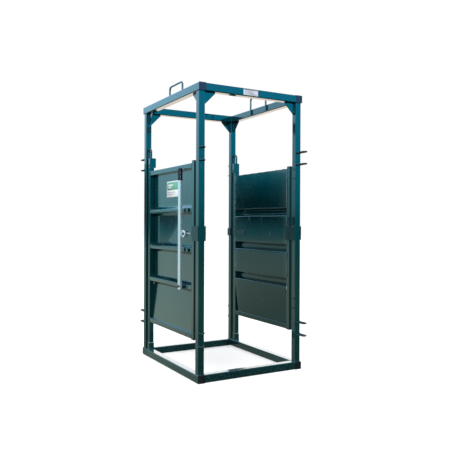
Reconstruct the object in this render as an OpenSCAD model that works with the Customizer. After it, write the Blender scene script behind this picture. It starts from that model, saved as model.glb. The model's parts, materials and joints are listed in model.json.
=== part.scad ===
// Walk-through cattle cage with two side doors, each closed by a lever-driven slide bolt.
// The animal walks along Y; the doors are in the two long sides, at -X (left) and +X (right).
// Origin: on the floor, under the middle of the frame. +Z is up.

/* [Frame] */
// Height of the frame, without the lifting loops
frame_h = 2200; // [1800:10:2700]
// Width of the frame across the animal's path
frame_w = 930; // [740:10:1200]
// Length of the frame along the animal's path, end caps included
frame_l = 1100; // [900:10:1400]
// Outer width of the square rails
rail = 60; // [54:1:80]
// Outer width of the square posts
post = 50; // [40:1:60]
// Wall of the rails and posts
frame_wall = 3; // [2:0.5:5]
// Thickness of an end cap's head
cap_t = 5; // [3:1:10]
// Leg of a corner gusset
gusset_leg = 95; // [60:5:150]
// Thickness of a corner gusset
gusset_t = 5; // [3:1:10]

/* [Loops] */
// Bar of the lifting loops
lift_bar = 16; // [10:1:20]
// Distance between the legs of a lifting loop
lift_span = 244; // [160:2:400]
// Rise of a lifting loop above the frame
lift_rise = 108; // [70:2:160]
// Bar of the coupling loops
loop_bar = 12; // [8:1:14]
// Distance between the legs of a coupling loop
loop_gauge = 34; // [30:1:36]
// Reach of a long coupling loop beyond its post
loop_long = 106; // [70:2:150]
// Reach of a short coupling loop beyond its post
loop_short = 32; // [28:1:45]

/* [Doors] */
// Outer width of the square door stiles and rails
stile = 40; // [34:1:48]
// Wall of the door tubes
stile_wall = 2.5; // [1.5:0.5:4]
// Gap between a door stile and its post
door_gap = 38; // [34:1:60]
// Underside of a door
door_z = 305; // [220:5:420]
// Height of a door, underside to the top of its rail
door_h = 1317; // [1180:1:1500]
// Rise of the latch stile above the door's top rail
stile_rise = 13; // [6:1:40]
// Thickness of the pressed sheet
sheet_t = 2; // [1.5:0.5:4]
// Height of a pressed rib's front face
rib_face = 32; // [20:1:50]
// Height of a pressed rib's mouth at the sheet
rib_mouth = 68; // [56:1:100]

/* [Hinges] */
// Diameter of the crook pin
crook_d = 16; // [10:1:20]
// Height of the hinge box
hinge_box_h = 83; // [60:1:110]
// Diameter of the heel pin
heel_d = 20; // [14:1:26]
// Height of the heel socket
heel_h = 60; // [40:1:90]
// Radial clearance of the hinge pins
pin_clear = 0.4; // [0.3:0.1:0.6]

/* [Latch] */
// Height of the slide bolt above the floor
bolt_z = 1090; // [1060:1:1120]
// Diameter of the slide bolt
bolt_d = 16; // [10:1:20]
// Radial clearance of the slide bolt in its guides
bolt_clear = 0.5; // [0.4:0.1:0.8]
// Throw of the lever, from locked to open, in degrees
lever_throw = 9; // [6:0.5:10]
// Width of the lever tube, along the door
lever_w = 40; // [30:1:46]
// Thickness of the lever tube, away from the door
lever_t = 20; // [16:1:26]
// Distance from the lever's centre line to the latch stile
lever_set = 147; // [140:1:200]
// Distance from the drive pin to the lever's centre line
drive_offset = 52; // [50:1:60]
// Top of the lever's grip above the floor
lever_top = 1593; // [1480:1:1800]
// Length of the grip
grip_l = 93; // [70:1:140]
// Diameter of the stop disc on the drive pin
disc_d = 57; // [40:1:58]
// Thickness of the stop disc
disc_t = 8; // [4:1:12]
// Height of the latch plates
latch_h = 110; // [80:1:140]

/* [Hidden] */
$fn = 48;

left = -1;
right = 1;

// Frame lines
rail_x = frame_w / 2 - rail / 2;
rail_y = frame_l / 2 - cap_t - rail / 2;
post_in_x = rail_x - post / 2;
post_out_x = rail_x + post / 2;
post_in_y = rail_y - post / 2;
post_end_y = rail_y + post / 2;
rail_in_x = frame_w / 2 - rail;
rail_radius = 6;
post_radius = 5;
stile_radius = 4;
cap_plug = 22;
cap_plug_clear = 0.3;
gusset_tip = 8;

// Coupling loops: the long ones of one cage rest on the short ones of the next
loop_heights = [283, 381, 1645, 1740];
loop_drop = loop_bar + 1;

// Door lines, all for the left door; the right door mirrors them
door_y = post_in_y - door_gap;
door_top = door_z + door_h;
hinge_y = door_y - stile / 2;
latch_y = -door_y + stile / 2;
door_out_x = -rail_x - stile / 2;
door_in_x = -rail_x + stile / 2;
clear_y = door_y - stile;
sheet_lap = 8;
rib_depth = stile;
rib_heights = [686, 968, 1270];
sheet_foot = door_z + stile;
rib_end_clear = 0.5;

// Hinge lines
hinge_box_gap = 33;
hinge_box_z = door_top + hinge_box_gap;
hinge_box_top = hinge_box_z + hinge_box_h;
hinge_box_x = stile + 17;
hinge_box_y = stile - 2;
crook_gauge = post_in_y - crook_d / 2 - hinge_y;
crook_end_gap = 5;
crook_leg_gap = 7;
crook_leg = 50;
heel_socket = 46;
heel_floor = 6;
heel_end_gap = 2;
heel_plate_t = 5;
heel_gap = 2;
heel_plate_z = rail + heel_h + heel_gap;

// Latch lines
bolt_nose_gap = 4;
bolt_nose_y = -post_in_y + bolt_nose_gap;
lever_y = -clear_y + lever_set;
pivot_z = rib_heights[0];
pivot_d = 12;
pivot_clear = 0.4;
lever_gap = 15;
lever_in_x = door_out_x - lever_gap;
lever_out_x = lever_in_x - lever_t;
lever_wall = 2;
lever_tail = 24;
tab_t = 6;
tab_h = 48;
tab_reach = 18;
drive_d = 10;
drive_y = lever_y - drive_offset;
drive_rise = bolt_z - pivot_z;
bolt_travel = (drive_rise * sin(lever_throw) - drive_offset) / cos(lever_throw) + drive_offset;
drive_slot = 12;
drive_clear = 0.6;
part_gap = 1;
disc_in_x = lever_in_x - part_gap;
bolt_head_d = 20;
bolt_head_t = 6;
latch_z = bolt_z + 5;
latch_plate_t = 6;
latch_plate_gap = 1;
latch_plate_lap = 12;
latch_box_depth = 12;
latch_box_wall = 4;
latch_seam_y = -post_in_y + 20;
latch_box_gap = 2;
guide_l = 20;
guide_h = 36;
guide_gap = 69;
rear_guide_y = drive_y + bolt_travel + guide_gap;
rear_guide_l = 24;
bolt_tail = 11;
bolt_tail_y = rear_guide_y + rear_guide_l + bolt_tail;
block_y = -clear_y + 55;
block_w = 26;
block_h = 28;
block_t = 12;
strap_l = 217;
strap_h = 38;
strap_t = 5;

paint = "#0b4f55";
black = "#16181b";
cap_blue = "#232a4d";
zinc = "#c9ced2";
white = "#eef0f0";
green = "#6fae93";

// ---------- shared shapes ----------

// Draws a left-hand piece on the chosen side
module on_side(side) {
    if (side == right)
        mirror([1, 0, 0]) children();
    else
        children();
}

// Rectangle centred on the origin with round corners
module round_rect(w, h, r) {
    square([w - 2 * r, h], center = true);
    square([w, h - 2 * r], center = true);
    for (x = [-1, 1], y = [-1, 1])
        translate([x * (w / 2 - r), y * (h / 2 - r)]) circle(r, $fn = 32);
}

// Wall outline of a rectangular tube
module tube_outline(w, h, wall, r) {
    difference() {
        round_rect(w, h, r);
        round_rect(w - 2 * wall, h - 2 * wall, r - wall / 2);
    }
}

// Upright square tube standing on z = 0
module tube_z(size, wall, r, length) {
    linear_extrude(length) tube_outline(size, size, wall, r);
}

// Square tube along Y, centred on the origin
module tube_y(size, wall, r, length) {
    rotate([90, 0, 0])
        linear_extrude(length, center = true) tube_outline(size, size, wall, r);
}

// Square tube along X, centred on the origin
module tube_x(size, wall, r, length) {
    rotate([0, 0, 90]) tube_y(size, wall, r, length);
}

// Round bar or pin along Y, X or Z between two values
module bar_y(d, from, to) {
    translate([0, from, 0]) rotate([-90, 0, 0]) cylinder(h = to - from, d = d);
}

module bar_x(d, from, to) {
    translate([from, 0, 0]) rotate([0, 90, 0]) cylinder(h = to - from, d = d);
}

module bar_z(d, from, to) {
    translate([0, 0, from]) cylinder(h = to - from, d = d);
}

// Quarter bend of a round bar in the XY plane, from the +X axis to the +Y axis
module bend(radius, d, angle) {
    rotate_extrude(angle = angle) translate([radius, 0]) circle(d = d, $fn = 24);
}

// Box given by its low and high corners
module block(low, high) {
    translate(low) cube(high - low);
}

// ---------- frame ----------

module side_rail(side, z) {
    color(paint)
        translate([side * rail_x, 0, z + rail / 2])
            tube_y(rail, frame_wall, rail_radius, frame_l - 2 * cap_t);
}

module cross_rail(end, z) {
    color(paint)
        translate([0, end * rail_y, z + rail / 2])
            tube_x(rail, frame_wall, rail_radius, 2 * rail_in_x);
}

module post(side, end) {
    color(paint)
        translate([side * rail_x, end * rail_y, rail])
            tube_z(post, frame_wall, post_radius, frame_h - 2 * rail);
}

// Push-in plug for the end of a side rail, with its head towards +Y
module end_cap() {
    plug = rail - 2 * frame_wall - 2 * cap_plug_clear;
    rotate([-90, 0, 0]) {
        linear_extrude(cap_t) round_rect(rail, rail, rail_radius);
        translate([0, 0, -cap_plug])
            linear_extrude(cap_plug) round_rect(plug, plug, rail_radius - frame_wall / 2);
    }
}

module end_caps(z, tint) {
    color(tint)
        for (side = [left, right], turn = [0, 180])
            translate([side * rail_x, 0, z + rail / 2])
                rotate([0, 0, turn])
                    translate([0, frame_l / 2 - cap_t, 0]) end_cap();
}

// Triangular plate in the XZ plane with its square corner at the origin, pointing +X and -Z
module gusset() {
    rotate([90, 0, 0])
        linear_extrude(gusset_t, center = true)
            polygon([
                [0, 0], [gusset_leg, 0], [gusset_leg, -gusset_tip],
                [gusset_tip, -gusset_leg], [0, -gusset_leg]
            ]);
}

module corner_gussets() {
    under = frame_h - rail;
    color(paint)
        for (side = [left, right], turn = [0, 180])
            rotate([0, 0, turn]) on_side(side) {
                translate([-post_in_x, -rail_y, under]) gusset();
                translate([-rail_x, -post_in_y, under]) rotate([0, 0, 90]) gusset();
            }
}

// Loop of round bar in the YZ plane, legs down to z = 0, top at height
module lifting_loop(height) {
    radius = lift_bar * 1.75;
    top = height - lift_bar / 2;
    half = lift_span / 2;
    for (turn = [0, 180])
        rotate([0, 0, turn]) {
            translate([0, half, 0]) bar_z(lift_bar, 0, top - radius);
            translate([0, half - radius, top - radius])
                rotate([90, 0, 90]) bend(radius, lift_bar, 90);
            translate([0, 0, top]) bar_y(lift_bar, 0, half - radius);
        }
}

module lifting_loops() {
    foot = frame_h - rail + 10;
    color(paint)
        for (side = [left, right])
            translate([side * (rail_in_x - lift_bar / 2), 0, foot])
                lifting_loop(frame_h + lift_rise - foot);
}

// Flat U of round bar in the XY plane, legs starting at y = 0, reaching to y = -reach
module coupling_loop(reach) {
    radius = loop_gauge / 2;
    straight = reach - radius - loop_bar / 2;
    for (x = [-radius, radius])
        translate([x, 0, 0]) bar_y(loop_bar, -straight, 0);
    translate([0, -straight, 0]) rotate([0, 0, 180]) bend(radius, loop_bar, 180);
}

module coupling_loops(side, end, reach, drop) {
    color(paint)
        for (z = loop_heights)
            translate([side * rail_x, end * post_end_y, z - drop])
                rotate([0, 0, end > 0 ? 180 : 0]) coupling_loop(reach);
}

// Inverted U of round bar: one leg on the post, the other on the hinge axis
module crook_pin() {
    turn_z = hinge_box_top + crook_leg_gap + crook_leg;
    radius = crook_gauge / 2;
    translate([-rail_x, hinge_y, 0]) {
        bar_z(crook_d, hinge_box_z + crook_end_gap, turn_z);
        translate([0, crook_gauge, 0]) bar_z(crook_d, hinge_box_top + crook_leg_gap, turn_z);
        translate([0, radius, turn_z])
            rotate([90, 0, 90]) bend(radius, crook_d, 180);
    }
}

module crook_pins() {
    color(paint)
        for (side = [left, right]) on_side(side) crook_pin();
}

module heel_sockets() {
    color(paint)
        for (side = [left, right])
            on_side(side)
                translate([-rail_x, hinge_y, rail])
                    difference() {
                        linear_extrude(heel_h) round_rect(heel_socket, heel_socket, post_radius);
                        translate([0, 0, heel_floor])
                            cylinder(h = heel_h, d = heel_d + 2 * pin_clear);
                    }
}

// Open-backed channel, from low to high, with its back against the high X face
module latch_channel(low, high) {
    difference() {
        block(low, high);
        block(
            [low.x - part_gap, low.y + latch_box_wall, low.z + latch_box_wall],
            [high.x - latch_box_wall, high.y - latch_box_wall, high.z - latch_box_wall]
        );
    }
}

module latch_boxes_post() {
    low_z = latch_z - latch_h / 2;
    color(paint)
        for (side = [left, right])
            on_side(side)
                latch_channel(
                    [-post_in_x, -post_end_y + latch_box_wall, low_z],
                    [-post_in_x + latch_box_depth, latch_seam_y, low_z + latch_h]
                );
}

module mid_plates() {
    plate_h = 68;
    plate_t = 10;
    color(paint)
        for (side = [left, right])
            on_side(side)
                block(
                    [-post_in_x, post_in_y, bolt_z - plate_h / 2],
                    [-post_in_x + plate_t, post_end_y, bolt_z + plate_h / 2]
                );
}

module maker_plate() {
    plate_w = 130;
    plate_h = 46;
    plate_t = 1.5;
    plate_x = -20;
    color(white)
        translate([plate_x, -rail_y - rail / 2 - plate_t / 2, frame_h - rail / 2])
            rotate([90, 0, 0])
                linear_extrude(plate_t, center = true) round_rect(plate_w, plate_h, 3);
}

// ---------- doors ----------

module hinge_stile(side) {
    foot = heel_plate_z + heel_plate_t;
    color(paint)
        on_side(side)
            translate([-rail_x, hinge_y, foot])
                tube_z(stile, stile_wall, stile_radius, hinge_box_z - foot);
}

module latch_stile(side) {
    color(paint)
        on_side(side)
            translate([-rail_x, latch_y, 0])
                difference() {
                    translate([0, 0, door_z])
                        tube_z(stile, stile_wall, stile_radius, door_h + stile_rise);
                    translate([0, 0, bolt_z])
                        bar_y(bolt_d + 2 * bolt_clear, -stile, stile);
                }
}

module door_rails(side) {
    color(paint)
        on_side(side)
            for (z = [door_z, door_top - stile])
                translate([-rail_x, 0, z + stile / 2])
                    tube_y(stile, stile_wall, stile_radius, 2 * clear_y);
}

// Centre line of the pressed sheet in the XZ plane, from foot to top, as depth outwards and height
function rib_points(z) = [
    [0, z - rib_mouth / 2], [rib_depth, z - rib_face / 2],
    [rib_depth, z + rib_face / 2], [0, z + rib_mouth / 2]
];
sheet_line = concat(
    [[stile / 2, sheet_foot + sheet_t / 2]],
    [for (z = rib_heights) for (p = rib_points(z)) p],
    [[0, door_top - sheet_t]]
);

// Strip of sheet from a to b with round ends
module strip(a, b) {
    run = b - a;
    translate(a) circle(d = sheet_t, $fn = 24);
    translate(b) circle(d = sheet_t, $fn = 24);
    translate(a) rotate(atan2(run.y, run.x))
        translate([0, -sheet_t / 2]) square([norm(run), sheet_t]);
}

module door_sheet(side) {
    sheet_x = door_in_x + sheet_t / 2;
    color(paint)
        on_side(side) {
            translate([sheet_x, 0, 0]) mirror([1, 0, 0])
                rotate([90, 0, 0])
                    linear_extrude(2 * clear_y - 2 * rib_end_clear, center = true)
                        for (i = [0 : len(sheet_line) - 2])
                            strip(sheet_line[i], sheet_line[i + 1]);
            // Flats lapped over the stiles
            lows = [for (z = rib_heights) z + rib_mouth / 2];
            highs = [rib_heights[1] - rib_mouth / 2, rib_heights[2] - rib_mouth / 2, door_top - sheet_t];
            for (i = [0 : 2])
                block(
                    [door_in_x, -clear_y - sheet_lap, lows[i]],
                    [door_in_x + sheet_t, clear_y + sheet_lap, highs[i]]
                );
        }
}

module hinge_box(side) {
    color(paint)
        on_side(side)
            translate([-rail_x, hinge_y, hinge_box_z])
                difference() {
                    translate([hinge_box_x / 2 - stile / 2, 0, 0])
                        linear_extrude(hinge_box_h)
                            round_rect(hinge_box_x, hinge_box_y, stile_radius);
                    translate([0, 0, -part_gap])
                        cylinder(h = hinge_box_h + 2 * part_gap, d = crook_d + 2 * pin_clear);
                }
}

module heel_pin(side) {
    color(zinc)
        on_side(side)
            translate([-rail_x, hinge_y, 0]) {
                bar_z(heel_d, rail + heel_floor + heel_end_gap, heel_plate_z);
                translate([0, 0, heel_plate_z])
                    linear_extrude(heel_plate_t) round_rect(stile, stile, stile_radius);
            }
}

// Push-in plugs for the two ends of the latch stile
module stile_caps(side) {
    head = 4;
    plug = stile - 2 * stile_wall - 2 * cap_plug_clear;
    reach = stile_rise;
    color(black)
        on_side(side)
            for (at = [[door_z, 180], [door_top + stile_rise, 0]])
                translate([-rail_x, latch_y, at.x]) rotate([at.y, 0, 0]) {
                    linear_extrude(head) round_rect(stile, stile, stile_radius);
                    translate([0, 0, -reach])
                        linear_extrude(reach) round_rect(plug, plug, stile_radius - 1);
                }
}

// Plate over the post's outer face, on a pad that fills out to it from the stile
module latch_plate(side) {
    plate_in_x = -post_out_x - latch_plate_gap;
    edge_y = -door_y + latch_plate_lap;
    low_z = latch_z - latch_h / 2;
    color(paint)
        on_side(side) {
            block([plate_in_x - latch_plate_t, -post_end_y, low_z], [plate_in_x, edge_y, low_z + latch_h]);
            block([plate_in_x, -door_y, low_z], [door_out_x, edge_y, low_z + latch_h]);
        }
}

module latch_box(side) {
    low_z = latch_z - latch_h / 2;
    color(paint)
        on_side(side)
            latch_channel(
                [door_in_x, latch_seam_y + latch_box_gap, low_z],
                [-post_in_x + latch_box_depth, -clear_y - sheet_lap, low_z + latch_h]
            );
}

module bolt_guides(side) {
    bore = bolt_d + 2 * bolt_clear;
    front_y = -clear_y;
    color(paint)
        on_side(side)
            difference() {
                union() {
                    block(
                        [door_out_x, front_y, bolt_z - guide_h / 2],
                        [door_in_x, front_y + guide_l, bolt_z + guide_h / 2]
                    );
                    block(
                        [-rail_x - bore, rear_guide_y, bolt_z - guide_h / 2],
                        [door_in_x, rear_guide_y + rear_guide_l, bolt_z + guide_h / 2]
                    );
                }
                translate([-rail_x, 0, bolt_z])
                    bar_y(bore, front_y - part_gap, rear_guide_y + 2 * rear_guide_l);
            }
}

// Packers on the two upper ribs, and the round boss that the lever turns on
module rib_blocks(side) {
    color(paint)
        on_side(side) {
            for (z = [rib_heights[1], rib_heights[2]])
                block(
                    [door_out_x - block_t, block_y - block_w / 2, z - block_h / 2],
                    [door_out_x, block_y + block_w / 2, z + block_h / 2]
                );
            translate([0, lever_y, pivot_z])
                difference() {
                    bar_x(rib_face, lever_in_x + part_gap, door_out_x);
                    bar_x(pivot_d, lever_in_x, door_out_x + part_gap);
                }
        }
}

// Bolt that the lever turns on: it ends in the boss and is headed outside the lever
module lever_pivot(side) {
    head_x = lever_out_x - part_gap;
    color(black)
        on_side(side)
            translate([0, lever_y, pivot_z]) {
                bar_x(pivot_d, head_x, door_out_x);
                translate([head_x, 0, 0]) rotate([0, -90, 0])
                    cylinder(h = bolt_head_t, d = bolt_head_d, $fn = 6);
            }
}

module door_strap(side) {
    color(paint)
        on_side(side)
            block(
                [door_in_x + sheet_t, door_y - strap_l, bolt_z - strap_h / 2],
                [door_in_x + sheet_t + strap_t, door_y, bolt_z + strap_h / 2]
            );
}

module door_label() {
    label_w = 230;
    label_h = 130;
    label_t = 1;
    label_y = 20;
    label_z = door_top - 173;
    color(green)
        translate([door_in_x - label_t / 2, label_y, label_z])
            rotate([90, 0, 90])
                linear_extrude(label_t, center = true) round_rect(label_w, label_h, 3);
}

// ---------- levers ----------

module lever(side) {
    foot = pivot_z - lever_tail;
    length = lever_top - foot - lever_wall - part_gap;
    mid_x = (lever_in_x + lever_out_x) / 2;
    color(zinc)
        on_side(side)
            difference() {
                union() {
                    translate([mid_x, lever_y, foot])
                        linear_extrude(length) tube_outline(lever_t, lever_w, lever_wall, 3);
                    block(
                        [lever_in_x, drive_y - tab_reach, bolt_z - tab_h / 2],
                        [lever_in_x + tab_t, lever_y + lever_w / 4, bolt_z + tab_h / 2]
                    );
                }
                translate([0, lever_y, pivot_z])
                    bar_x(pivot_d + 2 * pivot_clear, lever_out_x - part_gap, lever_in_x + part_gap);
                for (z = [-drive_slot, drive_slot])
                    translate([0, drive_y, bolt_z + z])
                        bar_x(drive_d + 2 * drive_clear, lever_in_x - part_gap, lever_in_x + 2 * tab_t);
                translate([lever_in_x - part_gap, drive_y - drive_d / 2 - drive_clear, bolt_z - drive_slot])
                    cube([2 * tab_t, drive_d + 2 * drive_clear, 2 * drive_slot]);
            }
}

module lever_grip(side) {
    skin = 3;
    mid_x = (lever_in_x + lever_out_x) / 2;
    foot = lever_top - grip_l;
    color(black)
        on_side(side)
            translate([mid_x, lever_y, foot])
                difference() {
                    linear_extrude(grip_l) round_rect(lever_t + 2 * skin, lever_w + 2 * skin, 5);
                    translate([0, 0, -part_gap])
                        linear_extrude(grip_l - skin + part_gap) round_rect(lever_t, lever_w, 3);
                }
}

// Slide bolt with the pin that the lever's slot drives
module slide_bolt(side) {
    color(zinc)
        on_side(side)
            union() {
                translate([-rail_x, 0, bolt_z]) bar_y(bolt_d, bolt_nose_y, bolt_tail_y);
                translate([0, drive_y, bolt_z]) bar_x(drive_d, disc_in_x, -rail_x);
            }
}

// Washer-like disc on the drive pin, with its bolt head
module stop_disc(side) {
    color(zinc)
        on_side(side)
            translate([0, drive_y, bolt_z]) {
                bar_x(disc_d, disc_in_x - disc_t, disc_in_x);
                translate([disc_in_x - disc_t, 0, 0]) rotate([0, -90, 0])
                    cylinder(h = bolt_head_t, d = bolt_head_d, $fn = 6);
            }
}

// ---------- the parts ----------

side_rail(left, 0);  // side_rail_bottom_left
side_rail(right, 0);  // side_rail_bottom_right
side_rail(left, frame_h - rail);  // side_rail_top_left
side_rail(right, frame_h - rail);  // side_rail_top_right
cross_rail(-1, 0);  // cross_rail_bottom_front
cross_rail(1, 0);  // cross_rail_bottom_rear
cross_rail(-1, frame_h - rail);  // cross_rail_top_front
cross_rail(1, frame_h - rail);  // cross_rail_top_rear
post(left, -1);  // post_front_left
post(right, -1);  // post_front_right
post(left, 1);  // post_rear_left
post(right, 1);  // post_rear_right
end_caps(frame_h - rail, cap_blue);  // end_caps_top
end_caps(0, black);  // end_caps_bottom
corner_gussets();
lifting_loops();
coupling_loops(left, -1, loop_short, loop_drop);  // coupling_loops_front_left
coupling_loops(right, -1, loop_long, 0);  // coupling_loops_front_right
coupling_loops(left, 1, loop_long, 0);  // coupling_loops_rear_left
coupling_loops(right, 1, loop_short, loop_drop);  // coupling_loops_rear_right
crook_pins();
heel_sockets();
latch_boxes_post();
mid_plates();
maker_plate();
hinge_stile(left);  // hinge_stile_left
latch_stile(left);  // latch_stile_left
door_rails(left);  // door_rails_left
door_sheet(left);  // door_sheet_left
hinge_box(left);  // hinge_box_left
heel_pin(left);  // heel_pin_left
stile_caps(left);  // stile_caps_left
latch_plate(left);  // latch_plate_left
latch_box(left);  // latch_box_left
bolt_guides(left);  // bolt_guides_left
rib_blocks(left);  // rib_blocks_left
lever_pivot(left);  // lever_pivot_left
door_strap(left);  // door_strap_left
door_label();
hinge_stile(right);  // hinge_stile_right
latch_stile(right);  // latch_stile_right
door_rails(right);  // door_rails_right
door_sheet(right);  // door_sheet_right
hinge_box(right);  // hinge_box_right
heel_pin(right);  // heel_pin_right
stile_caps(right);  // stile_caps_right
latch_plate(right);  // latch_plate_right
latch_box(right);  // latch_box_right
bolt_guides(right);  // bolt_guides_right
rib_blocks(right);  // rib_blocks_right
lever_pivot(right);  // lever_pivot_right
door_strap(right);  // door_strap_right
lever(left);  // lever_left
lever_grip(left);  // lever_grip_left
slide_bolt(left);  // slide_bolt_left
stop_disc(left);  // stop_disc_left
lever(right);  // lever_right
lever_grip(right);  // lever_grip_right
slide_bolt(right);  // slide_bolt_right
stop_disc(right);  // stop_disc_right
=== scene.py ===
"""Looks for a walk-through cattle cage with two side doors: painted steel tube, pressed sheet, levers."""
import json
import math
import random

import bmesh
import bpy
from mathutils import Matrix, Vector


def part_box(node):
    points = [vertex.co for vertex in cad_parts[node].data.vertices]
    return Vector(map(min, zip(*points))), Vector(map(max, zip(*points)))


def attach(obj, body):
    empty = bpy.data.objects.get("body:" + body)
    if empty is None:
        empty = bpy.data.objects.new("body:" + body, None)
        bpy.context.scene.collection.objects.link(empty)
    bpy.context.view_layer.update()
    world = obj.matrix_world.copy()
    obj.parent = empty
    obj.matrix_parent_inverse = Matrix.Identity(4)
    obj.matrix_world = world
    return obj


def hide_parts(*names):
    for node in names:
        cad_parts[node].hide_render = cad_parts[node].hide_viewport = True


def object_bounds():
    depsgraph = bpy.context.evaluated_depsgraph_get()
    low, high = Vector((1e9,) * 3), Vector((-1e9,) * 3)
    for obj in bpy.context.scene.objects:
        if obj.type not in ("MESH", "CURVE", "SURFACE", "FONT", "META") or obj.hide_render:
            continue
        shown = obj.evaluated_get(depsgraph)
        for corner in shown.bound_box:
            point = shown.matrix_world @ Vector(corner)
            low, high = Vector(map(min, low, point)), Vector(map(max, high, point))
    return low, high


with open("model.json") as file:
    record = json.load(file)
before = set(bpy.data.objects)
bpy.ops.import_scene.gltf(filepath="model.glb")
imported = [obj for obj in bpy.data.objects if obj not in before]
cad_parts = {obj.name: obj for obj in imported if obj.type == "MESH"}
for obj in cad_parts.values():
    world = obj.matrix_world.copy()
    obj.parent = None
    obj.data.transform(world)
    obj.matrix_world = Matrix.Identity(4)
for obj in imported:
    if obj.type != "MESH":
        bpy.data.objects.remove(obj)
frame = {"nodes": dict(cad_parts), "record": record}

cad_low, cad_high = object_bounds()
SIDES = {"left": -1, "right": 1}
MM = 0.001

# Colours, linear
TEAL = (0.0003, 0.023, 0.026)
TEAL_DEEP = (0.0002, 0.017, 0.020)
DUST = (0.060, 0.080, 0.070)
SCUFF = (0.020, 0.100, 0.105)
ZINC = (0.86, 0.84, 0.84)
ZINC_DULL = (0.62, 0.65, 0.68)
BLACK = (0.007, 0.007, 0.009)
CAP_BLUE = (0.012, 0.018, 0.052)
LABEL_WHITE = (0.93, 0.94, 0.96)
LABEL_GREEN = (0.16, 0.45, 0.33)
LABEL_GREY = (0.45, 0.48, 0.52)
PLATE_WHITE = (0.70, 0.73, 0.84)


# ---------- camera ----------

def add_camera():
    """Stands in front and to the left, at about chest height."""
    data = bpy.data.cameras.new("camera")
    data.sensor_width = 36
    data.lens = 45.29
    camera = bpy.data.objects.new("camera", data)
    camera.location = (-2.321, -4.218, 1.172)
    turn = (90 - 0.187, -0.227, -29.508)
    camera.rotation_euler = [math.radians(a) for a in turn]
    bpy.context.scene.collection.objects.link(camera)
    bpy.context.scene.camera = camera


# ---------- node helpers ----------

def add_node(tree, kind, inputs=None, **settings):
    """A shader node with its settings, and its inputs set to values or joined to sockets."""
    made = tree.nodes.new(kind)
    for key, value in settings.items():
        setattr(made, key, value)
    for key, value in (inputs or {}).items():
        socket = made.inputs[key]
        if isinstance(value, bpy.types.NodeSocket):
            tree.links.new(value, socket)
        elif socket.type == "RGBA" and len(value) == 3:
            socket.default_value = (*value, 1.0)
        else:
            socket.default_value = value
    return made


def new_material(name):
    material = bpy.data.materials.new(name)
    material.use_nodes = True
    tree = material.node_tree
    shader = tree.nodes["Principled BSDF"]
    coords = add_node(tree, "ShaderNodeTexCoord").outputs["Object"]
    return material, tree, shader, coords


def noise(tree, coords, scale, detail=3.0, stretch=None):
    if stretch:
        coords = add_node(tree, "ShaderNodeMapping", {"Vector": coords, "Scale": stretch}).outputs[0]
    made = add_node(tree, "ShaderNodeTexNoise", {"Vector": coords, "Scale": scale, "Detail": detail})
    return made.outputs["Fac"]


def spread(tree, value, low, high, to_low=0.0, to_high=1.0):
    """Maps a value's low to high stretch onto another stretch, and clamps it."""
    inputs = {"Value": value, "From Min": low, "From Max": high, "To Min": to_low, "To Max": to_high}
    return add_node(tree, "ShaderNodeMapRange", inputs).outputs["Result"]


def times(tree, a, b):
    return add_node(tree, "ShaderNodeMath", {0: a, 1: b}, operation="MULTIPLY").outputs[0]


def mix(tree, factor, a, b):
    made = add_node(tree, "ShaderNodeMix", data_type="RGBA")
    for socket, value in ((made.inputs[0], factor), (made.inputs[6], a), (made.inputs[7], b)):
        if isinstance(value, bpy.types.NodeSocket):
            tree.links.new(value, socket)
        elif socket.type == "RGBA":
            socket.default_value = (*value[:3], 1.0)
        else:
            socket.default_value = value
    return made.outputs[2]


def bump(tree, shader, layers):
    """Stacks bumps of (height, strength, distance in metres) on a shader."""
    normal = None
    for height, strength, distance in layers:
        inputs = {"Height": height, "Strength": strength, "Distance": distance}
        if normal:
            inputs["Normal"] = normal
        normal = add_node(tree, "ShaderNodeBump", inputs).outputs["Normal"]
    tree.links.new(normal, shader.inputs["Normal"])


def height_of(tree, coords):
    return add_node(tree, "ShaderNodeSeparateXYZ", {0: coords}).outputs["Z"]


# ---------- materials ----------

def paint_material(name, waviness, weld=False, coat=0.9, flat=0.0):
    """Gloss enamel over steel, with orange peel, slow waves, scuffs and dust near the floor."""
    material, tree, shader, coords = new_material(name)
    shade = spread(tree, noise(tree, coords, 2.4, 4), 0.35, 0.65)
    colour = mix(tree, shade, TEAL_DEEP, TEAL)
    # Fine scuffs, mostly along the length of the pieces
    scuffs = spread(tree, noise(tree, coords, 38, 5, (1, 1, 0.25)), 0.66, 0.72)
    rubs = spread(tree, noise(tree, coords, 7, 2), 0.50, 0.66)
    scuffs = times(tree, times(tree, scuffs, rubs), 0.55)
    colour = mix(tree, scuffs, colour, SCUFF)
    # Dust and splashes that thin out above the floor
    low = spread(tree, height_of(tree, coords), 0.0, 0.55, 1.0, 0.0)
    dust = spread(tree, noise(tree, coords, 60, 8), 0.35, 0.80)
    dust = times(tree, times(tree, low, low), times(tree, dust, 0.30))
    colour = mix(tree, dust, colour, DUST)
    tree.links.new(colour, shader.inputs["Base Color"])
    gloss = spread(tree, noise(tree, coords, 5.5, 4), 0.3, 0.7, 0.10 + flat, 0.19 + flat)
    worn = add_node(tree, "ShaderNodeMath", {0: dust, 1: scuffs}, operation="ADD").outputs[0]
    rough = add_node(tree, "ShaderNodeMath", {0: worn, 1: 0.8, 2: gloss}, operation="MULTIPLY_ADD")
    tree.links.new(rough.outputs[0], shader.inputs["Roughness"])
    shader.inputs["Coat Weight"].default_value = coat
    shader.inputs["Coat Roughness"].default_value = 0.05
    peel = (noise(tree, coords, 420, 2), 0.10, 0.3 * MM)
    waves = (noise(tree, coords, 9, 2), waviness, 2.5 * MM)
    layers = [waves, peel]
    if weld:
        layers.append((noise(tree, coords, 700, 3), 0.5, 0.5 * MM))
    bump(tree, shader, layers)
    return material


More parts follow.
